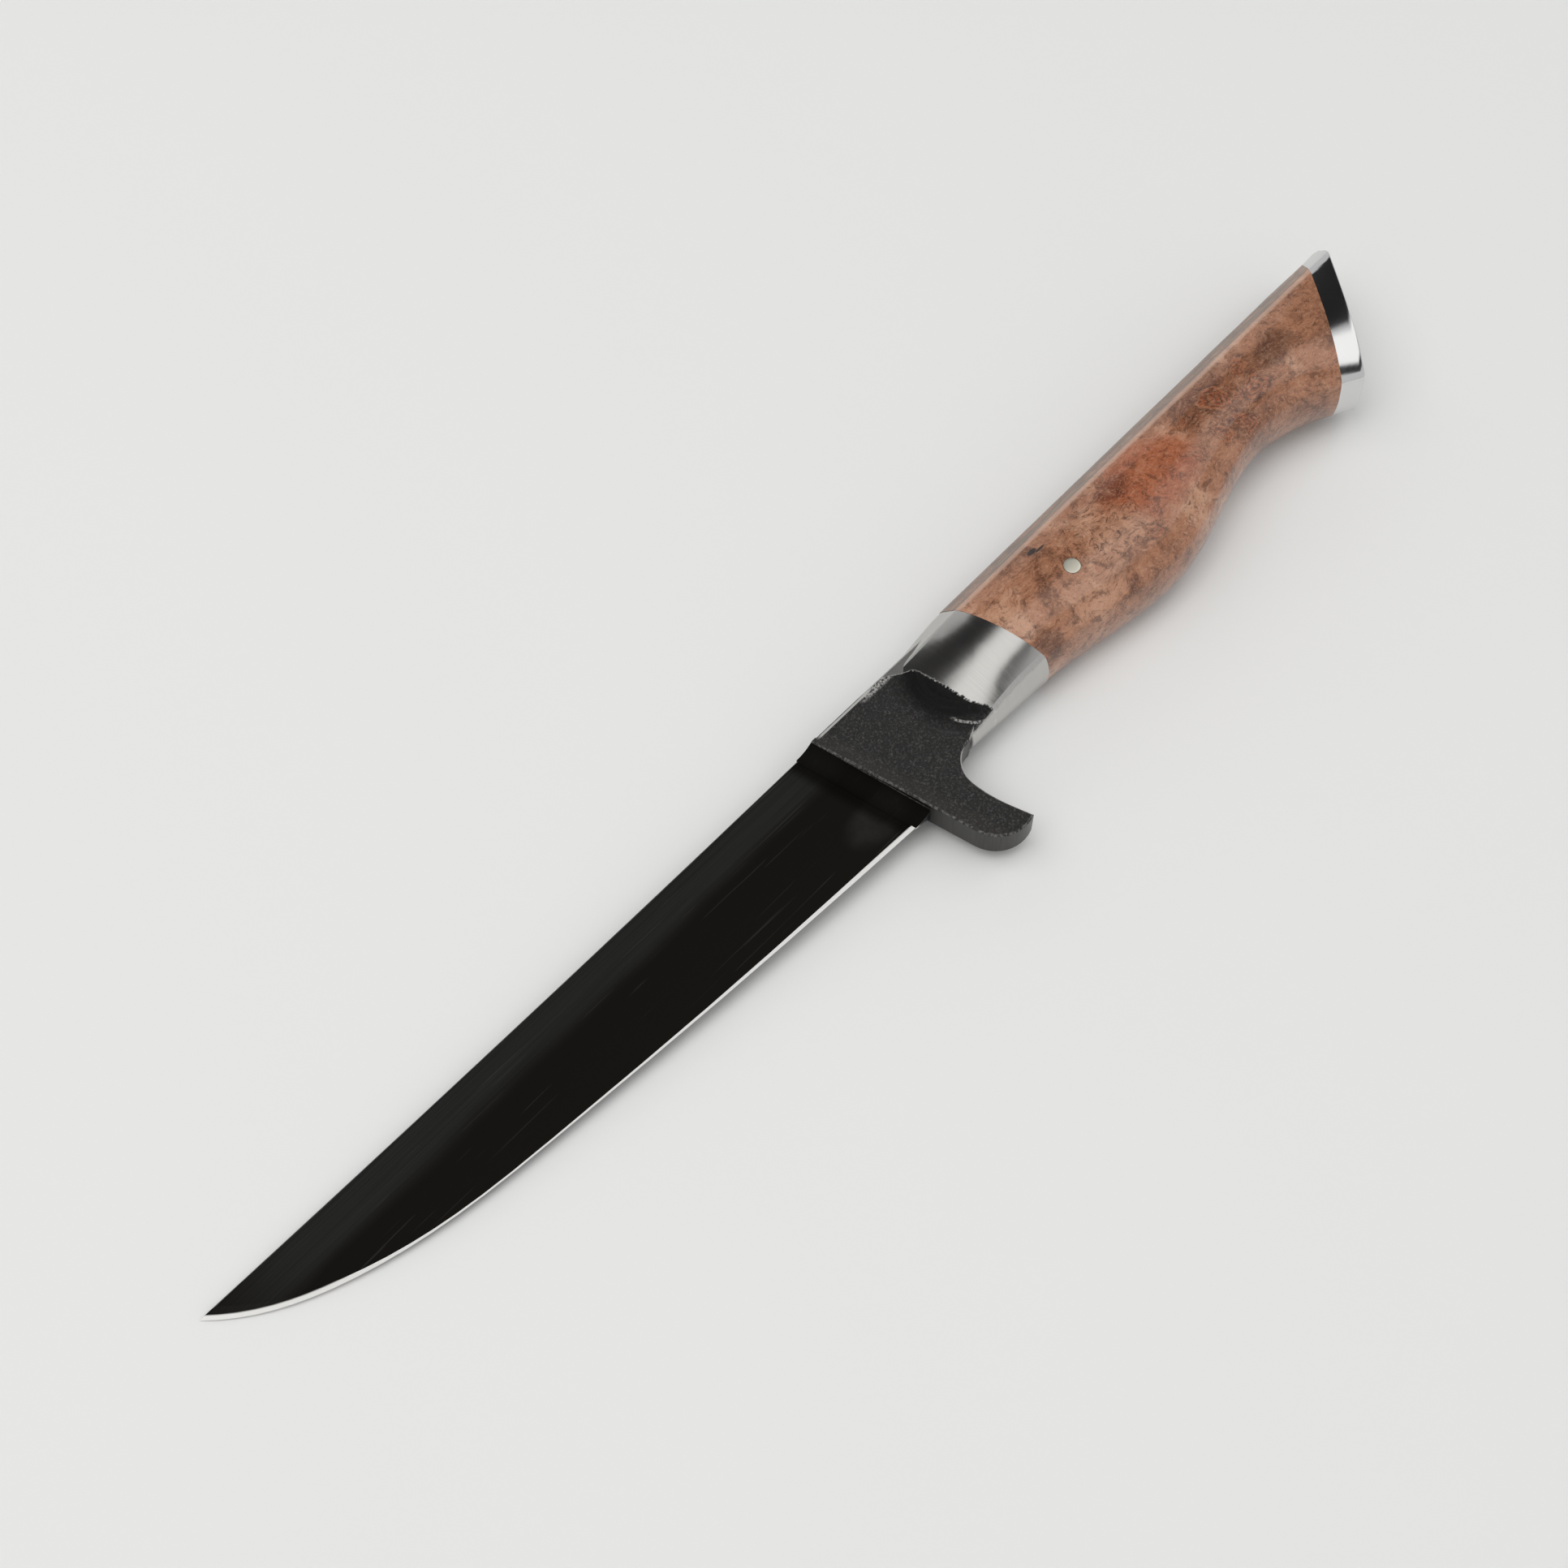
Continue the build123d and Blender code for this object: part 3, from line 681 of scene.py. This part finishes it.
class GripShape:
    """The grip's outline at any place x along it. Lengths are in metres, and x is from the tip."""

    def __init__(self, sizes):
        self.sizes = sizes
        self.seam = PIN_X - sizes.pin_from_seam
        self.palm = self.seam + sizes.palm_from_seam
        self.waist = self.seam + sizes.waist_from_seam
        self.pommel = self.seam + sizes.grip_length
        self.seam_lean = -math.tan(sizes.seam_slant)
        self.pommel_lean = math.tan(sizes.pommel_slant)
        self.butt = self.pommel + sizes.pommel_thickness / math.cos(sizes.pommel_slant)
        self.lower_butt = self.butt - self.pommel_lean * sizes.pommel_belly

    def to_palm(self, x):
        """How far x is on the way from the bolster seam to the palm swell."""
        return ease((x - self.seam) / self.sizes.palm_from_seam)

    def to_waist(self, x):
        """How far x is on the way from the palm swell to the waist."""
        return ease((x - self.palm) / (self.waist - self.palm))

    def belly(self, x):
        """The belly's distance below the centre line."""
        sizes = self.sizes
        if x < self.palm:
            return between(sizes.bolster_belly, sizes.palm_belly, self.to_palm(x))
        if x < self.waist:
            return between(sizes.palm_belly, sizes.waist_belly, self.to_waist(x))
        flare = (x - self.waist) / (self.lower_butt - self.waist)
        return between(sizes.waist_belly, sizes.pommel_belly, flare**2)

    def half(self, x):
        """Half the thickness."""
        sizes = self.sizes
        if x < self.palm:
            return between(sizes.bolster_half, sizes.palm_half, self.to_palm(x))
        if x < self.waist:
            return between(sizes.palm_half, sizes.waist_half, self.to_waist(x))
        to_butt = ease((x - self.waist) / (self.butt - self.waist))
        return between(sizes.waist_half, sizes.pommel_half, to_butt)

    def spine(self, x):
        """The spine's height above the centre line."""
        sizes = self.sizes
        return between(sizes.bolster_spine, sizes.pommel_spine, min((x - self.seam) / sizes.grip_length, 1))

    def outline(self, x):
        """Evenly spaced points round the section: spine flat, facets, crowned sides, crowned belly."""
        sizes = self.sizes
        half, spine, belly = self.half(x), self.spine(x), -self.belly(x)
        facet = spine - sizes.facet_drop * half
        shoulder = sizes.shoulder_height * half
        hip_rise = sizes.belly_tuck * half
        hip = sizes.hip_height * half
        steps = np.linspace(0, 1, SIDE_POINTS)
        side_y = between(facet, belly + hip_rise, steps)
        crown = half - (shoulder + hip) / 2
        side_z = between(shoulder, hip, steps) + crown * 4 * steps * (1 - steps)
        belly_z = hip * (1 - steps)
        belly_y = belly + hip_rise * (1 - steps) ** 2
        ys = np.concatenate([[spine, spine], side_y, belly_y[1:]])
        zs = np.concatenate([[0, sizes.spine_flat * half], side_z, belly_z[1:]])
        ys = np.concatenate([ys, ys[-2::-1]])
        zs = np.concatenate([zs, -zs[-2::-1]])
        run = np.concatenate([[0], np.cumsum(np.hypot(np.diff(ys), np.diff(zs)))])
        count = sizes.ring_points
        even = np.linspace(0, run[-1], FINE_STEPS * count, endpoint=False)
        ys, zs = np.interp(even, run, ys), np.interp(even, run, zs)
        reach = max(1, round(sizes.corner_round / (run[-1] / len(even))))
        shifts = range(-reach, reach + 1)
        ys, zs = [sum(np.roll(values, shift) for shift in shifts) / len(shifts) for values in (ys, zs)]
        return ys[::FINE_STEPS], zs[::FINE_STEPS]

    def ring(self, start, start_lean, end, end_lean, part):
        """A ring that lies on a slanted plane, part of the way from the first plane to the last."""
        count = self.sizes.ring_points
        x = np.full(count, between(start, end, part))
        for _ in range(RING_ROUNDS):
            at = np.linspace(x.min(), x.max(), RING_SECTIONS)
            sections = np.array([self.outline(value) for value in at])
            ys, zs = [
                np.array([np.interp(x[k], at, sections[:, axis, k]) for k in range(count)]) for axis in (0, 1)
            ]
            x = between(start + start_lean * ys, end + end_lean * ys, part)
        return [Vector((TIP_X + a, CENTRE_Y + b, MIDDLE_Z + c)) for a, b, c in zip(x, ys, zs)]


def round_butt_corner(shape, grip):
    """Rounds the corner between butt and spine, by drawing the points beyond it towards its centre."""
    sizes = grip.sizes
    radius = sizes.butt_corner_round
    reach = radius / math.tan((math.pi / 2 - sizes.pommel_slant) / 2)
    centre = Vector((grip.butt + grip.pommel_lean * sizes.pommel_spine - reach, sizes.pommel_spine - radius))
    centre += Vector((TIP_X, CENTRE_Y))
    off_butt = Vector((1, -grip.pommel_lean)).normalized()
    for vertex in shape.verts:
        out = vertex.co.xy - centre
        if out.x > 0 and out.dot(Vector((-off_butt.y, off_butt.x))) > 0 and out.length > radius:
            vertex.co.xy = centre + out * (radius / out.length)


def loft(rings):
    """A closed solid through rings of points, and the edges of each ring."""
    shape = bmesh.new()
    loops = []
    for points in rings:
        made = bmesh.ops.create_circle(shape, cap_ends=False, segments=len(points), radius=1)
        for vertex, point in zip(made["verts"], points):
            vertex.co = point
        loops.append(list({edge for vertex in made["verts"] for edge in vertex.link_edges}))
    for first, second in zip(loops, loops[1:]):
        bmesh.ops.bridge_loops(shape, edges=first + second)
    for loop in (loops[0], loops[-1]):
        bmesh.ops.edgeloop_fill(shape, edges=loop)
    bmesh.ops.recalc_face_normals(shape, faces=shape.faces)
    return shape, loops


def finish_piece(shape, name, material, node):
    """Makes the shape an object that rides on the knife in place of a CAD node."""
    mesh = bpy.data.meshes.new(name)
    shape.to_mesh(mesh)
    shape.free()
    mesh.materials.append(material)
    mesh.polygons.foreach_set("use_smooth", [True] * len(mesh.polygons))
    mesh.set_sharp_from_angle(angle=SHARP_ANGLE)
    piece = bpy.data.objects.new(name, mesh)
    bpy.context.scene.collection.objects.link(piece)
    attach(piece, "root")
    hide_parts(node)
    return piece


def paint_node(name, material):
    """Gives a CAD node its material."""
    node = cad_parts[name]
    node.data.materials.clear()
    node.data.materials.append(material)


# ---- Operators ----


class KNIFE_OT_forging(bpy.types.Operator):
    """Finish the blade, ricasso, guard and bolster, which are one forging"""

    bl_idname = "knife.forging"
    bl_label = "Forging"

    def execute(self, context):
        paint_node("blade_forging", forged_steel(context.scene.knife_finishes))
        return {"FINISHED"}


class KNIFE_OT_handle(bpy.types.Operator):
    """Build the burl wood handle between the bolster and the pommel"""

    bl_idname = "knife.handle"
    bl_label = "Handle"

    def execute(self, context):
        sizes = context.scene.knife_grip
        grip = GripShape(sizes)
        parts = [k / (sizes.rings - 1) for k in range(sizes.rings)]
        rings = [grip.ring(grip.seam, grip.seam_lean, grip.pommel, grip.pommel_lean, part) for part in parts]
        shape, _ = loft(rings)
        material = burl_wood(context.scene.knife_finishes)
        finish_piece(shape, "burl_handle", material, "handle_block")
        return {"FINISHED"}


class KNIFE_OT_pommel(bpy.types.Operator):
    """Build the polished pommel cap, with its rounded rim"""

    bl_idname = "knife.pommel"
    bl_label = "Pommel"

    def execute(self, context):
        sizes = context.scene.knife_grip
        grip = GripShape(sizes)
        parts = (0, 0.02, 0.2, 0.4, 0.6, 0.8, 1)
        lean = grip.pommel_lean
        rings = [grip.ring(grip.pommel, lean, grip.butt, lean, part) for part in parts]
        shape, loops = loft(rings)
        round_butt_corner(shape, grip)
        bmesh.ops.bevel(
            shape,
            geom=loops[-1],
            offset=sizes.rim_round,
            offset_type="OFFSET",
            segments=4,
            profile=0.5,
            affect="EDGES",
            material=-1,
            clamp_overlap=True,
        )
        material = mirror_steel(context.scene.knife_finishes)
        finish_piece(shape, "polished_pommel", material, "pommel_cap")
        return {"FINISHED"}


class KNIFE_OT_pin(bpy.types.Operator):
    """Build the handle pin, ground to follow both sides of the handle"""

    bl_idname = "knife.pin"
    bl_label = "Pin"

    def execute(self, context):
        grip = GripShape(context.scene.knife_grip)
        radius = (PIN_HIGH.x - PIN_LOW.x) / 2
        ys, zs = grip.outline(PIN_X)
        upper = zs > zs.max() / 2
        order = np.argsort(ys[upper])
        side_y, side_z = ys[upper][order], zs[upper][order]
        shape = bmesh.new()
        bmesh.ops.create_cone(
            shape, cap_ends=True, segments=64, radius1=radius, radius2=radius, depth=2 * side_z.max()
        )
        insets = (0.1, 0.2, 0.3, 0.3)
        for inset in insets:
            caps = [face for face in shape.faces if len(face.verts) > 4]
            bmesh.ops.inset_region(shape, faces=caps, thickness=inset * radius, use_even_offset=True)
        proud = 0.05 * MM
        rounding = 0.02 * MM
        for vertex in shape.verts:
            height = float(np.interp(vertex.co.y, side_y, side_z)) + proud
            if math.hypot(vertex.co.x, vertex.co.y) > 0.98 * radius:
                height -= rounding
            vertex.co.z = math.copysign(height, vertex.co.z)
        bmesh.ops.translate(shape, verts=shape.verts, vec=(TIP_X + PIN_X, CENTRE_Y, MIDDLE_Z))
        bmesh.ops.recalc_face_normals(shape, faces=shape.faces)
        material = nickel_silver(context.scene.knife_finishes)
        finish_piece(shape, "nickel_pin", material, "handle_pin")
        return {"FINISHED"}


class KNIFE_OT_hidden(bpy.types.Operator):
    """Finish the bedding and the dowels, which are inside the grip"""

    bl_idname = "knife.hidden"
    bl_label = "Hidden parts"

    def execute(self, context):
        colours = context.scene.knife_finishes
        paint_node("tang_bedding", cured_glue(colours))
        paint_node("pommel_dowels", plain_dowel_steel(colours))
        return {"FINISHED"}


class KNIFE_OT_stage(bpy.types.Operator):
    """Set out the floor, the soft lights and the camera"""

    bl_idname = "knife.stage"
    bl_label = "Stage"

    def execute(self, context):
        studio = context.scene.knife_studio
        self.lay_floor(studio)
        self.hang_lights(studio)
        self.light_room(context, studio)
        self.set_camera(context, studio)
        return {"FINISHED"}

    def lay_floor(self, studio):
        """A floor that leans with the knife, turned about the palm swell and just clear of it."""
        palm_from_tip, clear = 217 * MM, 0.1 * MM
        shape = bmesh.new()
        bmesh.ops.create_grid(shape, x_segments=4, y_segments=4, size=4)
        palm = Vector((TIP_X + palm_from_tip, 0, -clear))
        tilt = Matrix.Translation(palm) @ Matrix.Rotation(studio.floor_tilt, 4, "Y")
        bmesh.ops.transform(shape, matrix=tilt, verts=shape.verts)
        mesh = bpy.data.meshes.new("floor")
        shape.to_mesh(mesh)
        shape.free()
        finish = Finish("pale_floor")
        points = finish.node("TexCoord", output="Object")
        mottle = finish.noise(points, 30, 3)
        tint = finish.mix(mottle * 0.15, studio.floor_colour, FLOOR_MOTTLE)
        mesh.materials.append(finish.surface(Base_Color=tint, Roughness=0.5 + 0.1 * mottle))
        floor = bpy.data.objects.new("floor", mesh)
        bpy.context.scene.collection.objects.link(floor)

    def hang_lights(self, studio):
        """Two square lights, each with its place, size and power. Reflections don't show them."""
        lights = [
            ("key", (-0.45, 0.45, 1.35), 1.2, studio.key_power),
            ("fill", (0.60, -0.60, 1.55), 1.0, studio.fill_power),
        ]
        for name, place, size, power in lights:
            lamp = bpy.data.lights.new(name, "AREA")
            lamp.shape = "SQUARE"
            lamp.size = size
            lamp.energy = power
            light = bpy.data.objects.new(name, lamp)
            light.location = place
            light.visible_glossy = False
            light.rotation_mode = "QUATERNION"
            light.rotation_quaternion = (-Vector(place)).to_track_quat("-Z", "Y")
            bpy.context.scene.collection.objects.link(light)

    def light_room(self, context, studio):
        """Pale all round, with a dark wall on the spine side, a bright ceiling and a dark beam.

        Each is a band of height: degrees from the spine side's horizon, over the top.
        """
        pale, bright, unlit = (1.0, 1.0, 1.0), (1.9, 1.9, 1.88), (0.03, 0.03, 0.03)
        world = bpy.data.worlds.new("room")
        world.use_nodes = True
        room = Finish("room", world.node_tree)
        look = room.parts(room.node("TexCoord", output="Generated"))
        height = room.node("Math", {"operation": "ARCTAN2"}, {0: look[2], 1: look[1]}) * (180 / math.pi)
        wall = room.within(height, 45, 70, 4)
        ceiling = room.within(height, 79, 99, 5)
        beam = room.within(height, 103, 108, 3)
        overhead = room.within(look[0], -1.0, 0.85, 0.15) * room.rise(look[2], 0.35, 0.55)
        tint = room.mix(ceiling * overhead, pale, bright)
        tint = room.mix((wall | beam) * overhead, tint, unlit)
        background = world.node_tree.nodes["Background"]
        room.feed(background.inputs["Color"], tint)
        background.inputs["Strength"].default_value = studio.sky
        context.scene.world = world
        context.scene.view_settings.view_transform = "Standard"

    def set_camera(self, context, studio):
        """A camera at its distance from the point it looks at."""
        level = math.cos(studio.elevation)
        east, north = math.sin(studio.azimuth) * level, -math.cos(studio.azimuth) * level
        back = Vector((east, north, math.sin(studio.elevation)))
        lens = bpy.data.cameras.new("camera")
        lens.lens = studio.lens
        lens.sensor_width = 36
        lens.clip_start = 0.01
        camera = bpy.data.objects.new("camera", lens)
        camera.rotation_mode = "QUATERNION"
        camera.location = Vector(studio.aim) + back * studio.distance
        camera.rotation_quaternion = (-back).to_track_quat("-Z", "Y")
        context.scene.collection.objects.link(camera)
        context.scene.camera = camera


class KNIFE_PT_panel(bpy.types.Panel):
    """Sizes, colours and build steps of the knife"""

    bl_label = "Boning knife"
    bl_idname = "KNIFE_PT_panel"
    bl_space_type = "VIEW_3D"
    bl_region_type = "UI"
    bl_category = "Knife"

    def draw(self, context):
        layout = self.layout
        for operator in OPERATORS:
            layout.operator(operator.bl_idname)
        for group in (context.scene.knife_grip, context.scene.knife_finishes, context.scene.knife_studio):
            box = layout.box()
            for name in group.__annotations__:
                box.prop(group, name)


OPERATORS = (
    KNIFE_OT_forging,
    KNIFE_OT_handle,
    KNIFE_OT_pommel,
    KNIFE_OT_pin,
    KNIFE_OT_hidden,
    KNIFE_OT_stage,
)
GROUPS = {"knife_grip": GripSizes, "knife_finishes": Finishes, "knife_studio": Studio}


def register():
    for group in GROUPS.values():
        bpy.utils.register_class(group)
    for name, group in GROUPS.items():
        setattr(bpy.types.Scene, name, PointerProperty(type=group))
    for operator in OPERATORS:
        bpy.utils.register_class(operator)
    bpy.utils.register_class(KNIFE_PT_panel)


def unregister():
    bpy.utils.unregister_class(KNIFE_PT_panel)
    for operator in reversed(OPERATORS):
        bpy.utils.unregister_class(operator)
    for name, group in GROUPS.items():
        delattr(bpy.types.Scene, name)
        bpy.utils.unregister_class(group)


def main():
    register()
    bpy.ops.knife.forging()
    bpy.ops.knife.handle()
    bpy.ops.knife.pommel()
    bpy.ops.knife.pin()
    bpy.ops.knife.hidden()
    bpy.ops.knife.stage()


if __name__ == "__main__":
    main()
